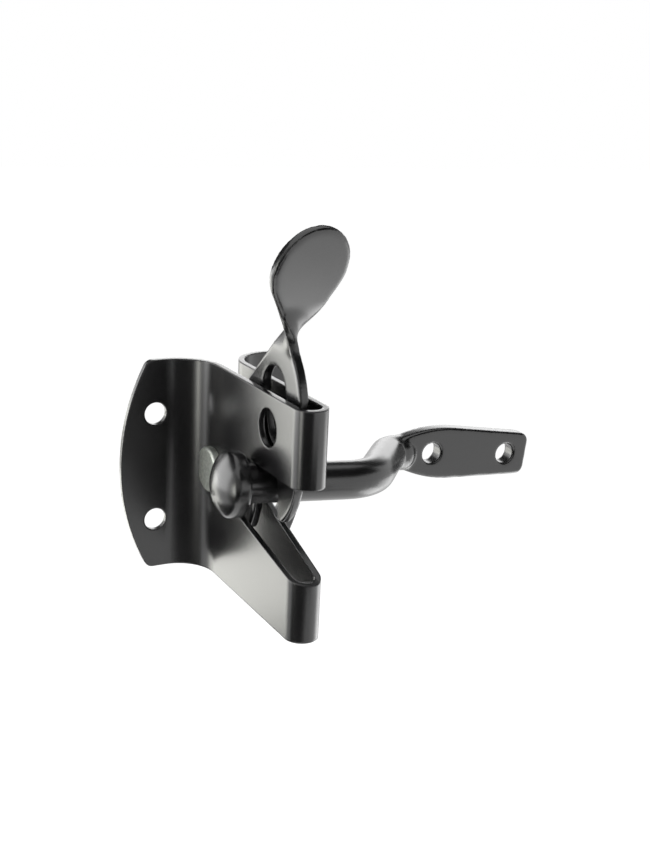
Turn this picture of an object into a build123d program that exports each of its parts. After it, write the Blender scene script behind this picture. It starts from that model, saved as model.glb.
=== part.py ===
"""Automatic gate latch: folded case, twisted spoon lever, pivot rivet and cranked striker bar.

Millimetres, +Z up. The origin is the middle of the four post screws, on the post: the back of both
flanges lies in the plane Y = 0, the case projects towards -Y, and X = 0 is midway between its walls.
"""
import os
from math import atan2, cos, degrees, radians, sin, sqrt, tan

from build123d import *

# Case, one strip of folded sheet
sheet = 1.5
wall_outer = 4.25
wall_inner = wall_outer - sheet
fold_front = 10.0
fold_back = fold_front + sheet
fold_x = wall_outer + fold_front
fold_y = -sheet - fold_front
case_top = 28.9
case_bottom = -28.1
case_middle = (case_top + case_bottom) / 2
left_reach = 26.4
right_reach = 28.6
flange_sagitta = 7.3
flange_corner = 2.5
upper_nose_y = -58.8
lower_nose_y = -58.7
screw_hole_dia = 6.0
screw_spacing_x = 34.0
screw_spacing_z = 29.2
padlock_hole_dia = 9.5
padlock_y = -41.5
padlock_z = 20.7

# Slot in both walls that takes the striker bar. The lower edge of the right wall is the steeper one
slot_top_z = 10.0
slot_rear_y = -23.5
slot_rear_radius = 4.0
left_rear_z = -6.1
left_lip_z = -13.2
right_rear_z = -1.9
right_lip_z = -13.9

# Pivot rivet
pivot_y = -10.0
pivot_z = 0.8
shank_dia = 6.0
running_clearance = 0.05
rivet_head_dia = 11.8
rivet_head_height = 2.0
rivet_head_chamfer = 0.4
formed_head_dia = 9.5
formed_head_taper = 20.0

# Lever, cut from plate. Its corners are (Y, Z), down the front of the arm, round the pawl and the leg
plate = 2.5
brow = [(-50.4, 33.4), (-51.9, 27.4), (-52.1, 21.4)]
cam_top = (-51.1, 10.4)
cam_middle = (-48.9, 2.6)
pawl_heel = (-44.4, -2.6)
pawl_toe = (-41.3, -2.6)
leg_toe = (-27.9, -10.6)
leg_heel = (-22.5, -10.6)
back_corner = (-22.0, 26.9)
lobe_radius = 7.0
lobe_start_angle = 240.0
lobe_sweep = 188.0
arm_slot_centre = (-39.5, 24.8)
arm_slot_width = 12.0
arm_slot_length = 20.3
arm_slot_angle = 68.0
notch_clearance = 1.0
notch_sweep = 50.0

# Twisted arm and spoon
twist_start_z = 38.9
twist_end_z = 50.8
twist_total = 80.0
spoon_centre_z = 59.4
spoon_radius = 10.7
spoon_flare = 30.3
spoon_shift_x = 1.5
arm_start_y = -42.0
arm_half_width = 5.7
arm_start_slope = 0.17
arm_end_slope = 0.405
neck_z = 43.6
neck_half = 3.8
neck_power = 1.35
neck_steps = 5

# Striker bar, with its own axes along the bar
bar_dia = 10.0
bar_axis_y = -35.5
bar_axis_z = 4.6
bar_yaw = 1.9
bar_droop = 4.5
head_dia = 16.7
head_back = -8.2
head_rim = 3.6
head_front = head_back - head_rim
head_dome = 3.4
head_round = 1.2
crank_start = 28.6
crank_end = 45.8
crank_offset = 21.7
crank_bends = [16.0, 6.0]
bar_end = 48.9
striker_plate = 5.0
striker_root_half = 4.4
striker_widest = 17.1
striker_widest_half = 7.4
striker_length = 42.3
striker_end_half = 6.1
striker_edge_chamfer = 0.4
striker_corner = 2.5
striker_rise = 0.44
striker_tilt = 1.3
striker_hole_dia = 6.0
striker_hole_first = 9.8
striker_hole_spacing = 25.0

side_view = Plane.YZ


def quarter_turn(start, end, centre, radius):
    """Quarter arc of a fold, bulging away from its centre."""
    mid_x = (start[0] + end[0]) / 2 - centre[0]
    mid_y = (start[1] + end[1]) / 2 - centre[1]
    scale = radius / sqrt(mid_x**2 + mid_y**2)
    ThreePointArc(start, (centre[0] + mid_x * scale, centre[1] + mid_y * scale), end)


def hat_outline(nose_y):
    """Plan of the folded strip: flange, wall, round nose, wall, flange."""
    nose_centre = nose_y + wall_outer
    with BuildSketch(mode=Mode.PRIVATE) as outline:
        with BuildLine():
            ThreePointArc((-wall_outer, nose_centre), (0, nose_y), (wall_outer, nose_centre))
            ThreePointArc((-wall_inner, nose_centre), (0, nose_y + sheet), (wall_inner, nose_centre))
            for side, reach in ((-1, left_reach), (1, right_reach)):
                centre = (side * fold_x, fold_y)
                outer_wall_end = (side * wall_outer, fold_y)
                inner_wall_end = (side * wall_inner, fold_y)
                front_fold_end = (side * fold_x, -sheet)
                back_fold_end = (side * fold_x, 0)
                Line((side * wall_outer, nose_centre), outer_wall_end)
                Line((side * wall_inner, nose_centre), inner_wall_end)
                quarter_turn(outer_wall_end, front_fold_end, centre, fold_front)
                quarter_turn(inner_wall_end, back_fold_end, centre, fold_back)
                Polyline(front_fold_end, (side * reach, -sheet), (side * reach, 0), back_fold_end)
        make_face()
    return outline.sketch


def slot_outline(rear_z, lip_z):
    """Side view of the striker slot in one wall, open towards the nose."""
    front_y = upper_nose_y - sheet
    lip_slope = (rear_z - lip_z) / (slot_rear_y - lower_nose_y)
    front_z = lip_z + lip_slope * (front_y - lower_nose_y)
    with BuildSketch(mode=Mode.PRIVATE) as outline:
        with BuildLine():
            Polyline(
                (front_y, slot_top_z),
                (slot_rear_y, slot_top_z),
                (slot_rear_y, rear_z),
                (front_y, front_z),
                close=True,
            )
        make_face()
        fillet(outline.vertices().sort_by(Axis.X)[-2:], slot_rear_radius)
    return outline.sketch


with BuildPart() as latch_case:
    with BuildSketch(Plane.XY.offset(case_bottom)):
        add(hat_outline(lower_nose_y))
    extrude(amount=-case_bottom)
    with BuildSketch(Plane.XY):
        add(hat_outline(upper_nose_y))
    extrude(amount=case_top)

    # Curved outer edges of the flanges
    with BuildSketch(Plane.XZ) as flange_shape:
        with BuildLine():
            left_edge = ThreePointArc(
                (flange_sagitta - left_reach, case_bottom),
                (-left_reach, case_middle),
                (flange_sagitta - left_reach, case_top),
            )
            right_edge = ThreePointArc(
                (right_reach - flange_sagitta, case_bottom),
                (right_reach, case_middle),
                (right_reach - flange_sagitta, case_top),
            )
            Line(left_edge @ 0, right_edge @ 0)
            Line(left_edge @ 1, right_edge @ 1)
        make_face()
        fillet(flange_shape.vertices(), flange_corner)
    extrude(amount=-upper_nose_y + 1, mode=Mode.INTERSECT)

    # Striker slot: each wall has its own lower edge, and the nose runs from one to the other
    left_slot = slot_outline(left_rear_z, left_lip_z)
    right_slot = slot_outline(right_rear_z, right_lip_z)
    with BuildSketch(side_view.offset(-wall_inner)):
        add(left_slot)
    extrude(amount=-2 * sheet, mode=Mode.SUBTRACT)
    with BuildSketch(side_view.offset(wall_inner)):
        add(right_slot)
    extrude(amount=2 * sheet, mode=Mode.SUBTRACT)
    with BuildSketch(side_view.offset(-wall_inner)):
        add(left_slot)
    with BuildSketch(side_view.offset(wall_inner)):
        add(right_slot)
    loft(ruled=True, mode=Mode.SUBTRACT)

    # Post screw holes
    with Locations(Plane.XZ):
        with GridLocations(screw_spacing_x, screw_spacing_z, 2, 2):
            Hole(screw_hole_dia / 2)

    # Padlock and pivot holes through both walls
    with Locations(side_view):
        with Locations((padlock_y, padlock_z)):
            Hole(padlock_hole_dia / 2)
        with Locations((pivot_y, pivot_z)):
            Hole(shank_dia / 2)
latch_case.part.label = "latch_case"


# The notch that drops over the bar is an arc about the pivot, so the lever turns with the bar in place
bar_reach = sqrt((bar_axis_y - pivot_y) ** 2 + (bar_axis_z - pivot_z) ** 2)
bar_angle = degrees(atan2(bar_axis_z - pivot_z, bar_axis_y - pivot_y))
notch_path = CenterArc((pivot_y, pivot_z), bar_reach, bar_angle, notch_sweep)
notch_width = bar_dia + 2 * notch_clearance


def arm_slope(z):
    """Forward lean of the arm's centre line, in mm of -Y for each mm of height."""
    share = min(max((z - twist_start_z) / (twist_end_z - twist_start_z), 0.0), 1.0)
    return arm_start_slope + (arm_end_slope - arm_start_slope) * share


def smooth_step(z, start, end):
    """Eased share of the way from start to end, 0 before and 1 after."""
    share = min(max((z - start) / (end - start), 0.0), 1.0)
    return share * share * (3 - 2 * share)


def arm_centre(z):
    """Centre of the arm at height z: a gentle forward curve, and straight in the spoon."""
    rise = min(z, twist_end_z) - twist_start_z
    curve = (arm_end_slope - arm_start_slope) / (twist_end_z - twist_start_z) / 2
    beyond = max(z - twist_end_z, 0.0)
    y = arm_start_y - arm_start_slope * rise - curve * rise**2 - arm_end_slope * beyond
    x = spoon_shift_x * smooth_step(z, twist_start_z, twist_end_z)
    return Vector(x, y, z)


def arm_plane(z):
    """Cross-section plane at height z. Its X axis points to the arm's front edge, turned by the twist."""
    slope = arm_slope(z)
    along = Vector(0, -slope, 1).normalized()
    forward = Vector(0, -1, -slope).normalized()
    turn = radians(twist_total) * smooth_step(z, twist_start_z, twist_end_z)
    width_dir = forward * cos(turn) - Vector(1, 0, 0) * sin(turn)
    return Plane(origin=arm_centre(z), x_dir=width_dir, z_dir=along)


# The spoon is a disc with straight sides that meet it tangentially and narrow towards the neck
spoon_rise = (arm_centre(spoon_centre_z) - arm_centre(twist_end_z)).length
spoon_base_half = spoon_radius / cos(radians(spoon_flare)) - spoon_rise * tan(radians(spoon_flare))


def neck_half_width(z):
    """Half width of the arm from the flat plate, through its narrow neck, to the spoon."""
    if z < neck_z:
        share = (z - neck_z) / (twist_start_z - neck_z)
        return neck_half + (arm_half_width - neck_half) * share**2
    share = (z - neck_z) / (twist_end_z - neck_z)
    return neck_half + (spoon_base_half - neck_half) * share**neck_power


arm_front = arm_plane(twist_start_z).from_local_coords(Vector(arm_half_width, 0, 0))
arm_rear = arm_plane(twist_start_z).from_local_coords(Vector(-arm_half_width, 0, 0))

with BuildPart() as lever:
    # Flat plate between the walls, with the pawl, the notch over the bar and the clearance slot
    with BuildSketch(side_view):
        with BuildLine():
            front = Spline((arm_front.Y, arm_front.Z), *brow)
            Line(front @ 1, cam_top)
            ThreePointArc(cam_top, cam_middle, pawl_heel)
            lobe = CenterArc((pivot_y, pivot_z), lobe_radius, lobe_start_angle, lobe_sweep)
            Polyline(pawl_heel, pawl_toe, leg_toe, leg_heel, lobe @ 0)
            Polyline(lobe @ 1, back_corner, (arm_rear.Y, arm_rear.Z), front @ 0)
        make_face()
        SlotArc(notch_path, notch_width, mode=Mode.SUBTRACT)
        with Locations(arm_slot_centre):
            SlotOverall(arm_slot_length, arm_slot_width, rotation=arm_slot_angle, mode=Mode.SUBTRACT)
        with Locations((pivot_y, pivot_z)):
            Circle(shank_dia / 2 + running_clearance, mode=Mode.SUBTRACT)
    extrude(amount=plate / 2, both=True)

    # Twisted neck
    for step in range(neck_steps + 1):
        z = twist_start_z + (twist_end_z - twist_start_z) * step / neck_steps
        with BuildSketch(arm_plane(z)):
            Rectangle(2 * neck_half_width(z), plate)
    loft()

    # Flat spoon
    base = arm_plane(twist_end_z)
    with BuildSketch(Plane(origin=base.origin, x_dir=base.x_dir, z_dir=-base.y_dir)):
        with BuildLine():
            rim = CenterArc((0, spoon_rise), spoon_radius, -spoon_flare, 180 + 2 * spoon_flare)
            Polyline(rim @ 1, (-spoon_base_half, 0), (spoon_base_half, 0), rim @ 0)
        make_face()
    extrude(amount=plate / 2, both=True)
lever.part.label = "lever"


# Rivet: its flat head and its formed end are squeezed against the folds of the case
with BuildPart() as pivot_rivet:
    with BuildSketch(side_view.offset(-wall_outer)):
        with Locations((pivot_y, pivot_z)):
            Circle(rivet_head_dia / 2)
    extrude(amount=-rivet_head_height)
    chamfer(pivot_rivet.edges().sort_by(Axis.X)[0], rivet_head_chamfer)
    with BuildSketch(side_view.offset(wall_outer)):
        with Locations((pivot_y, pivot_z)):
            Circle(formed_head_dia / 2)
    extrude(amount=rivet_head_height, taper=formed_head_taper)
    for side in (-1, 1):
        with BuildSketch(Plane.XY.offset(pivot_z - rivet_head_dia)):
            with BuildLine():
                wall_end = (side * wall_outer, fold_y)
                flange_end = (side * fold_x, -sheet)
                quarter_turn(wall_end, flange_end, (side * fold_x, fold_y), fold_front)
                Polyline(flange_end, (side * wall_outer, -sheet), wall_end)
            make_face()
        extrude(amount=2 * rivet_head_dia, mode=Mode.SUBTRACT)
    with BuildSketch(side_view.offset(-wall_outer)):
        with Locations((pivot_y, pivot_z)):
            Circle(shank_dia / 2)
    extrude(amount=2 * wall_outer)
pivot_rivet.part.label = "pivot_rivet"


# Striker bar, built along its own X axis and then set in the slot as photographed
striker_plane = Plane(
    origin=(bar_end, crank_offset, striker_rise),
    x_dir=(cos(radians(striker_tilt)), 0, -sin(radians(striker_tilt))),
    z_dir=(0, -1, 0),
)

with BuildPart() as striker_bar:
    # Flattened end, widest near its inner screw hole and struck a little out of line with the bar
    with BuildSketch(striker_plane) as plate_shape:
        with BuildLine():
            taper = Line((striker_length, striker_end_half), (striker_widest, striker_widest_half))
            shoulder = TangentArc(taper @ 1, (0, striker_root_half), tangent=taper % 1)
            mirror(taper, about=Plane.XZ)
            mirror(shoulder, about=Plane.XZ)
            Line((0, -striker_root_half), (0, striker_root_half))
            Line((striker_length, -striker_end_half), (striker_length, striker_end_half))
        make_face()
        fillet(plate_shape.vertices().sort_by(Axis.X)[-2:], striker_corner)
    extrude(amount=striker_plate / 2, both=True)
    chamfer(striker_bar.faces().filter_by(Plane.XZ).edges(), striker_edge_chamfer)
    with Locations(striker_plane):
        with Locations((striker_hole_first, 0), (striker_hole_first + striker_hole_spacing, 0)):
            Hole(striker_hole_dia / 2)

    # Cranked round bar
    with BuildLine():
        FilletPolyline(
            (head_front, 0),
            (crank_start, 0),
            (crank_end, crank_offset),
            (bar_end, crank_offset),
            radius=crank_bends,
        )
    with BuildSketch(Plane.YZ.offset(head_front)):
        Circle(bar_dia / 2)
    sweep()

    # Rounded end of the bar, which runs out on the flattened plate
    with BuildSketch(Plane.XY):
        with BuildLine():
            Line((bar_end, crank_offset), (bar_end, crank_offset + bar_dia / 2))
            CenterArc((bar_end, crank_offset), bar_dia / 2, 0, 90)
            Line((bar_end + bar_dia / 2, crank_offset), (bar_end, crank_offset))
        make_face()
    revolve(axis=Axis((bar_end, crank_offset, 0), (1, 0, 0)))

    # Mushroom head, turned about the bar's axis
    with BuildSketch(Plane.XY) as head_shape:
        with BuildLine():
            Polyline(
                (head_front - head_dome, 0),
                (head_back, 0),
                (head_back, head_dia / 2),
                (head_front, head_dia / 2),
            )
            dome_radius = ((head_dia / 2) ** 2 + head_dome**2) / (2 * head_dome)
            RadiusArc((head_front, head_dia / 2), (head_front - head_dome, 0), -dome_radius)
        make_face()
        fillet(head_shape.vertices().group_by(Axis.Y)[-1].sort_by(Axis.X)[0], head_round)
    revolve(axis=Axis.X)
yaw, droop = radians(bar_yaw), radians(bar_droop)
striker_pose = Plane(
    origin=(0, bar_axis_y, bar_axis_z),
    x_dir=(cos(yaw) * cos(droop), -sin(yaw) * cos(droop), -sin(droop)),
    z_dir=(cos(yaw) * sin(droop), -sin(yaw) * sin(droop), cos(droop)),
)
striker = striker_pose.location * striker_bar.part
striker.label = "striker_bar"

os.makedirs("parts", exist_ok=True)
for piece in (latch_case.part, lever.part, pivot_rivet.part, striker):
    print(piece.label, round(piece.volume, 1), piece.is_valid, len(piece.solids()))
    export_step(piece, "parts/" + piece.label + ".step")
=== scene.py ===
"""Looks of the automatic gate latch: gloss black paint, a zinc plated rivet and a white studio."""
from math import cos, exp, pi, radians, sin, tan

import bpy
from mathutils import Matrix, Vector


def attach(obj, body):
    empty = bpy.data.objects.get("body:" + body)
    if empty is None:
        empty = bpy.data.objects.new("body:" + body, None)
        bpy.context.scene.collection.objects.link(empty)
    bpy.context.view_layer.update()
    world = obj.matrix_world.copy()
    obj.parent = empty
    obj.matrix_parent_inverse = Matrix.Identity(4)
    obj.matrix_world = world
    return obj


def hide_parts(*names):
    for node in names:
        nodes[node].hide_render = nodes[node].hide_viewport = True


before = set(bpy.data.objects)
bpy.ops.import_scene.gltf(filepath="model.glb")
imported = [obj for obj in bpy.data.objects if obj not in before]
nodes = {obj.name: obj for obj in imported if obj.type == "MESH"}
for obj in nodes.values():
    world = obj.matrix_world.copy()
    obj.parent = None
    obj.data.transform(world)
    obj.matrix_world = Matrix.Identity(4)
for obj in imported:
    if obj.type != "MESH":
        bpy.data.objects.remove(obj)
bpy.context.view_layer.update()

# Camera, solved from the photograph. Metres, in the frame of the part
IMAGE_HEIGHT = 868
FOCAL_PIXELS = 1200.0
SENSOR_MM = 36.0
CAMERA_PLACE = Vector((-0.124145, -0.284764, 0.101042))
CAMERA_RIGHT = Vector((0.8793, -0.4742, 0.0450))
CAMERA_UP = Vector((0.0984, 0.2734, 0.9568))
CLIP_START = 0.01

# Paint
PAINT_LOW = (0.003, 0.003, 0.0034, 1)
PAINT_HIGH = (0.006, 0.006, 0.0065, 1)
PAINT_IOR = 1.8
PAINT_ROUGHNESS = 0.26
ROUGHNESS_SPREAD = 0.02
CLOUD_SCALE = 70.0
CLOUD_DETAIL = 3.0
PEEL_SCALE = 2200.0
PEEL_DETAIL = 2.0
PEEL_HEIGHT = 0.0000015
EDGE_RADIUS = 0.0006
NO_EDGE = 0.0
EDGE_SAMPLES = 6

# Zinc
ZINC_LOW = (0.55, 0.58, 0.53, 1)
ZINC_HIGH = (0.78, 0.81, 0.75, 1)
ZINC_ROUGHNESS = 0.5
GRAIN_SCALE = 1500.0
GRAIN_DETAIL = 4.0
GRAIN_ROUGHNESS = 0.7
GRAIN_HEIGHT = 0.00001

# Noise of both materials, and the stretch of it that their colours span
NOISE_ROUGHNESS = 0.5
RAMP_START = 0.35
RAMP_END = 0.65

# Rounding of the pieces that are cut from thick plate or forged from a bar
VOXEL = 0.00035
SMOOTH_FACTOR = 0.5
LEVER_ROUNDS = 9
STRIKER_ROUNDS = 24
SPOON_ROUNDS = 60
SPOON_START = 0.044
SPOON_FULL = 0.050
NECK = Vector((0.0037, -0.0446, 0.0472))
NECK_PUSH = Vector((0.0008, 0.0004, -0.0007))
NECK_REACH = 0.0035

# Studio. Brightness 1 is the white of the background
FLOOR_HEIGHT = -0.26
FLOOR_HALF = 4.0
FLOOR_COLOUR = (0.9, 0.9, 0.9, 1)
FLOOR_GLOW = 0.48
SEEN_WHITE = 1.0
SOFT_WHITE = 0.6
WHITE = (1.0, 1.0, 1.0)
WARM = (1.0, 1.0, 0.92)
DARK = (0.01, 0.01, 0.01, 1)
GREY = (0.4, 0.4, 0.4, 1)
MATT = 1.0
NO_GLOSS = 0.0
STUDIO_MIDDLE = Vector((0.0, -0.02, 0.01))
SPOON_RIM = Vector((-0.0065, -0.0515, 0.064))
LAMP_DISTANCE = 0.45
CARD_DISTANCE = 0.42
HOLE_DISTANCE = 0.091


def new_material(name):
    """An empty node material with its shader and output."""
    material = bpy.data.materials.new(name)
    material.use_nodes = True
    tree = material.node_tree
    tree.nodes.clear()
    output = tree.nodes.new("ShaderNodeOutputMaterial")
    shader = tree.nodes.new("ShaderNodeBsdfPrincipled")
    tree.links.new(shader.outputs["BSDF"], output.inputs["Surface"])
    return material, tree, shader


def noise(tree, scale, detail, roughness=NOISE_ROUGHNESS):
    """A noise texture in object space, so that it stays with the piece."""
    place = tree.nodes.new("ShaderNodeTexCoord")
    texture = tree.nodes.new("ShaderNodeTexNoise")
    texture.inputs["Scale"].default_value = scale
    texture.inputs["Detail"].default_value = detail
    texture.inputs["Roughness"].default_value = roughness
    tree.links.new(place.outputs["Object"], texture.inputs["Vector"])
    return texture.outputs["Fac"]


def ramp(tree, value, low, high):
    """A colour ramp between two colours."""
    node = tree.nodes.new("ShaderNodeValToRGB")
    node.color_ramp.elements[0].position = RAMP_START
    node.color_ramp.elements[0].color = low
    node.color_ramp.elements[1].position = RAMP_END
    node.color_ramp.elements[1].color = high
    tree.links.new(value, node.inputs["Fac"])
    return node.outputs["Color"]


def spread(tree, value, middle, half):
    """A value from middle - half to middle + half."""
    node = tree.nodes.new("ShaderNodeMapRange")
    node.inputs["To Min"].default_value = middle - half
    node.inputs["To Max"].default_value = middle + half
    tree.links.new(value, node.inputs["Value"])
    return node.outputs["Result"]


def surface_normal(tree, height, distance, edge_radius):
    """A fine relief over edges that are softened, as paint and plating soften them."""
    edge = tree.nodes.new("ShaderNodeBevel")
    edge.samples = EDGE_SAMPLES
    edge.inputs["Radius"].default_value = edge_radius
    relief = tree.nodes.new("ShaderNodeBump")
    relief.inputs["Distance"].default_value = distance
    tree.links.new(height, relief.inputs["Height"])
    tree.links.new(edge.outputs["Normal"], relief.inputs["Normal"])
    return relief.outputs["Normal"]


def black_paint(name, edge_radius):
    """Baked black paint: near black, glossy, with a faint orange peel and soft edges."""
    material, tree, shader = new_material(name)
    cloud = noise(tree, CLOUD_SCALE, CLOUD_DETAIL)
    peel = noise(tree, PEEL_SCALE, PEEL_DETAIL)
    tree.links.new(ramp(tree, cloud, PAINT_LOW, PAINT_HIGH), shader.inputs["Base Color"])
    tree.links.new(spread(tree, cloud, PAINT_ROUGHNESS, ROUGHNESS_SPREAD), shader.inputs["Roughness"])
    tree.links.new(surface_normal(tree, peel, PEEL_HEIGHT, edge_radius), shader.inputs["Normal"])
    shader.inputs["IOR"].default_value = PAINT_IOR
    return material


def zinc():
    """Zinc plate with a slight green tinge and a crystalline sparkle."""
    material, tree, shader = new_material("zinc")
    shader.inputs["Metallic"].default_value = 1.0
    grain = noise(tree, GRAIN_SCALE, GRAIN_DETAIL, GRAIN_ROUGHNESS)
    tree.links.new(ramp(tree, grain, ZINC_LOW, ZINC_HIGH), shader.inputs["Base Color"])
    tree.links.new(surface_normal(tree, grain, GRAIN_HEIGHT, EDGE_RADIUS), shader.inputs["Normal"])
    shader.inputs["Roughness"].default_value = ZINC_ROUGHNESS
    return material


def assign(name, material):
    """Gives a CAD piece its material."""
    for slot in nodes[name].material_slots:
        slot.material = material


def smooth(piece, rounds, group=""):
    """Rounds off the edges of a piece, everywhere or where the vertex group says."""
    soft = piece.modifiers.new("soft", "SMOOTH")
    soft.factor = SMOOTH_FACTOR
    soft.iterations = rounds
    soft.vertex_group = group


def apply_modifiers(piece):
    """Gives a piece the mesh that its modifiers make."""
    graph = bpy.context.evaluated_depsgraph_get()
    mesh = bpy.data.meshes.new_from_object(piece.evaluated_get(graph))
    piece.modifiers.clear()
    piece.data = mesh


def rounded(name, body, material, rounds):
    """A finer copy of a CAD piece, its edges and joins rounded as tumbling and paint leave them."""
    piece = bpy.data.objects.new(name + "_rounded", nodes[name].data.copy())
    bpy.context.scene.collection.objects.link(piece)
    fine = piece.modifiers.new("fine", "REMESH")
    fine.mode = "VOXEL"
    fine.voxel_size = VOXEL
    smooth(piece, rounds)
    apply_modifiers(piece)
    piece.data.shade_smooth()
    piece.data.materials.clear()
    piece.data.materials.append(material)
    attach(piece, body)
    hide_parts(name)
    return piece


def fill_neck(lever):
    """The spoon runs into the twist in a straight line on its right, without a waist."""
    for vertex in lever.data.vertices:
        near = (vertex.co - NECK).length / NECK_REACH
        vertex.co += NECK_PUSH * exp(-near * near)


def round_spoon(lever):
    """The forged spoon has a full round rim, and runs softly into the twist below it."""
    spoon = lever.vertex_groups.new(name="spoon")
    for vertex in lever.data.vertices:
        weight = (vertex.co.z - SPOON_START) / (SPOON_FULL - SPOON_START)
        if weight > 0:
            spoon.add([vertex.index], min(weight, 1.0), "REPLACE")
    smooth(lever, SPOON_ROUNDS, spoon.name)
    apply_modifiers(lever)


def pieces():
    """The dressed latch: the case and the rivet as they are, and the lever and the bar rounded."""
    assign("latch_case", black_paint("paint_on_sheet", EDGE_RADIUS))
    plate_paint = black_paint("paint_on_plate", NO_EDGE)
    lever = rounded("lever", "lever", plate_paint, LEVER_ROUNDS)
    fill_neck(lever)
    round_spoon(lever)
    rounded("striker_bar", "case", plate_paint, STRIKER_ROUNDS)
    assign("pivot_rivet", zinc())


def camera():
    """The photograph's camera. The sensor lies along the taller side of the image."""
    data = bpy.data.cameras.new("camera")
    data.sensor_width = SENSOR_MM
    data.lens = FOCAL_PIXELS * SENSOR_MM / IMAGE_HEIGHT
    data.clip_start = CLIP_START
    item = bpy.data.objects.new("camera", data)
    right = CAMERA_RIGHT.normalized()
    back = right.cross(CAMERA_UP).normalized()
    up = back.cross(right)
    turn = Matrix((right, up, back)).transposed().to_4x4()
    item.matrix_world = Matrix.Translation(CAMERA_PLACE) @ turn
    bpy.context.scene.collection.objects.link(item)
    bpy.context.scene.camera = item


def seen_directly(tree):
    """1 for what the camera, a reflection or a transparent piece sees, and 0 for light that spreads."""
    path = tree.nodes.new("ShaderNodeLightPath")
    total = path.outputs["Is Camera Ray"]
    for ray in ("Is Glossy Ray", "Is Transmission Ray"):
        either = tree.nodes.new("ShaderNodeMath")
        either.operation = "MAXIMUM"
        tree.links.new(total, either.inputs[0])
        tree.links.new(path.outputs[ray], either.inputs[1])
        total = either.outputs[0]
    return total


def white_world():
    """White where it is seen, and a softer white where it only lights."""
    world = bpy.data.worlds.new("studio")
    world.cycles.sampling_method = "NONE"
    bpy.context.scene.world = world
    world.use_nodes = True
    tree = world.node_tree
    shade = tree.nodes["Background"]
    strength = tree.nodes.new("ShaderNodeMapRange")
    strength.inputs["To Min"].default_value = SOFT_WHITE
    strength.inputs["To Max"].default_value = SEEN_WHITE
    tree.links.new(seen_directly(tree), strength.inputs["Value"])
    tree.links.new(strength.outputs["Result"], shade.inputs["Strength"])
    shade.inputs["Color"].default_value = (*WHITE, 1)


def rectangle(name, half_x, half_y, material):
    """A flat object around its own middle, not yet in the scene."""
    corners = [(-half_x, -half_y, 0), (half_x, -half_y, 0), (half_x, half_y, 0), (-half_x, half_y, 0)]
    mesh = bpy.data.meshes.new(name)
    mesh.from_pydata(corners, [], [(0, 1, 2, 3)])
    mesh.materials.append(material)
    return bpy.data.objects.new(name, mesh)


def pale_floor():
    """A pale floor that takes the latch's shadow and looks white where it has none."""
    material, tree, shader = new_material("floor")
    shader.inputs["Base Color"].default_value = FLOOR_COLOUR
    shader.inputs["Roughness"].default_value = MATT
    shader.inputs["Specular IOR Level"].default_value = NO_GLOSS
    shader.inputs["Emission Color"].default_value = (*WHITE, 1)
    glow = tree.nodes.new("ShaderNodeMath")
    glow.operation = "MULTIPLY"
    glow.inputs[1].default_value = FLOOR_GLOW
    tree.links.new(seen_directly(tree), glow.inputs[0])
    tree.links.new(glow.outputs[0], shader.inputs["Emission Strength"])
    floor = rectangle("floor", FLOOR_HALF, FLOOR_HALF, material)
    floor.location.z = FLOOR_HEIGHT
    bpy.context.scene.collection.objects.link(floor)


def direction(azimuth, elevation):
    """A unit vector. Azimuth 0 is +Y and 90 is +X, in degrees."""
    turn, rise = radians(azimuth), radians(elevation)
    return Vector((sin(turn) * cos(rise), cos(turn) * cos(rise), sin(rise)))


def across(angle, distance):
    """The size that fills an angle in degrees at a distance."""
    return 2 * distance * tan(radians(angle) / 2)


def face_middle(item, azimuth, elevation, distance, middle=STUDIO_MIDDLE):
    """Sets an object at a distance from a point, with its -Z side towards it."""
    away = direction(azimuth, elevation)
    item.location = middle + distance * away
    item.rotation_euler = (-away).to_track_quat("-Z", "Y").to_euler()
    bpy.context.scene.collection.objects.link(item)


def softbox(name, azimuth, elevation, width, height, brightness, distance=LAMP_DISTANCE, colour=WHITE):
    """A large soft lamp. Its width and height are the angles that it fills as seen from the latch."""
    lamp = bpy.data.lights.new(name, "AREA")
    lamp.shape = "RECTANGLE"
    lamp.size = across(width, distance)
    lamp.size_y = across(height, distance)
    lamp.energy = brightness * pi * lamp.size * lamp.size_y
    lamp.color = colour
    item = bpy.data.objects.new(name, lamp)
    item.visible_camera = False
    face_middle(item, azimuth, elevation, distance)


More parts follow.
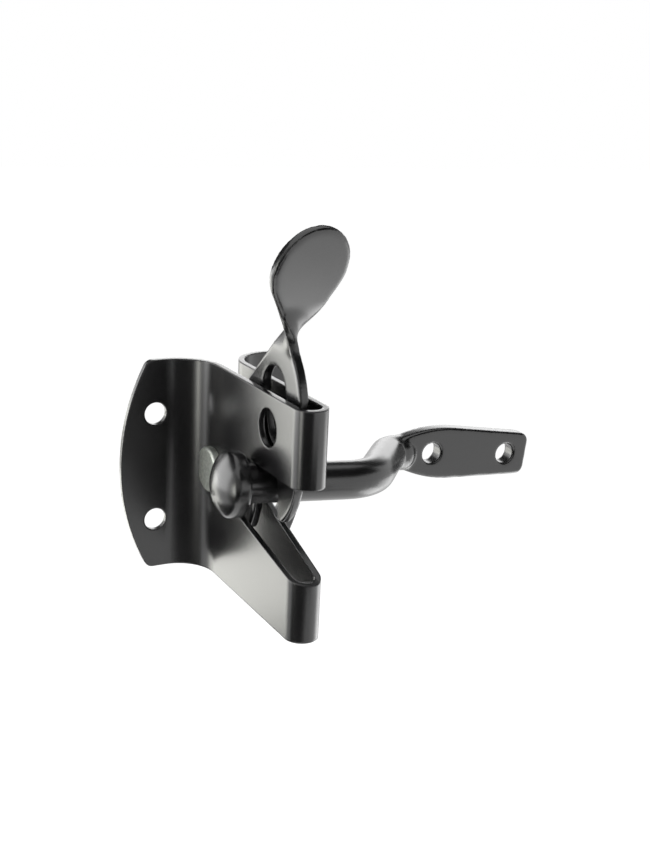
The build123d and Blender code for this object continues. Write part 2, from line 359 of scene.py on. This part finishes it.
def card(name, colour, azimuth, elevation, width, height, distance=CARD_DISTANCE, middle=STUDIO_MIDDLE):
    """A black or grey card that only reflections see. Its width and height are angles too."""
    material, tree, shader = new_material(name)
    shader.inputs["Base Color"].default_value = colour
    shader.inputs["Specular IOR Level"].default_value = NO_GLOSS
    item = rectangle(name, across(width, distance) / 2, across(height, distance) / 2, material)
    item.visible_camera = item.visible_diffuse = item.visible_shadow = item.visible_transmission = False
    face_middle(item, azimuth, elevation, distance, middle)


def lamps():
    """The bright areas that the walls, the bar and the spoon reflect."""
    softbox("back_left_low", azimuth=-27, elevation=-19, width=42, height=38, brightness=2.5,
            distance=0.34, colour=WARM)
    softbox("back_left", azimuth=-57, elevation=11, width=54, height=50, brightness=2.6)
    softbox("left", azimuth=-102, elevation=-6, width=8, height=22, brightness=6.0, colour=WARM)
    softbox("back_right", azimuth=35, elevation=11, width=44, height=18, brightness=2.0)
    softbox("right", azimuth=86, elevation=-24, width=36, height=20, brightness=1.9)
    softbox("right_low", azimuth=98, elevation=-43, width=36, height=18, brightness=2.6, distance=0.28)


def cards():
    """The dark areas between them, which give the paint its depth."""
    card("camera_side", DARK, azimuth=-145, elevation=-17, width=62, height=26)
    card("camera_low", DARK, azimuth=170, elevation=-17, width=24, height=17, distance=0.127)
    card("front_left_low", DARK, azimuth=-124, elevation=-27, width=72, height=20)
    card("left_floor", DARK, azimuth=-64, elevation=-52, width=64, height=30, distance=0.3)
    card("front_left_floor", DARK, azimuth=-135, elevation=-52, width=70, height=34)
    card("front_floor", DARK, azimuth=166, elevation=-40, width=26, height=16)
    card("front_left_high", GREY, azimuth=-140, elevation=16, width=90, height=40)
    card("front_high", DARK, azimuth=140, elevation=44, width=80, height=40)
    card("behind_hole", DARK, azimuth=-25.8, elevation=-8.2, width=5, height=9, distance=HOLE_DISTANCE)
    card("beside_hole", GREY, azimuth=-31.6, elevation=-11.3, width=7, height=15, distance=HOLE_DISTANCE)
    card("behind_leg", DARK, azimuth=-36, elevation=-27.3, width=11, height=7, distance=0.111)
    card("behind_spoon", DARK, azimuth=-42, elevation=23, width=80, height=55, distance=0.08,
         middle=SPOON_RIM)
    card("behind_high", DARK, azimuth=32, elevation=37, width=84, height=30)


pieces()
camera()
white_world()
pale_floor()
lamps()
cards()
bpy.context.scene.view_settings.view_transform = "Standard"
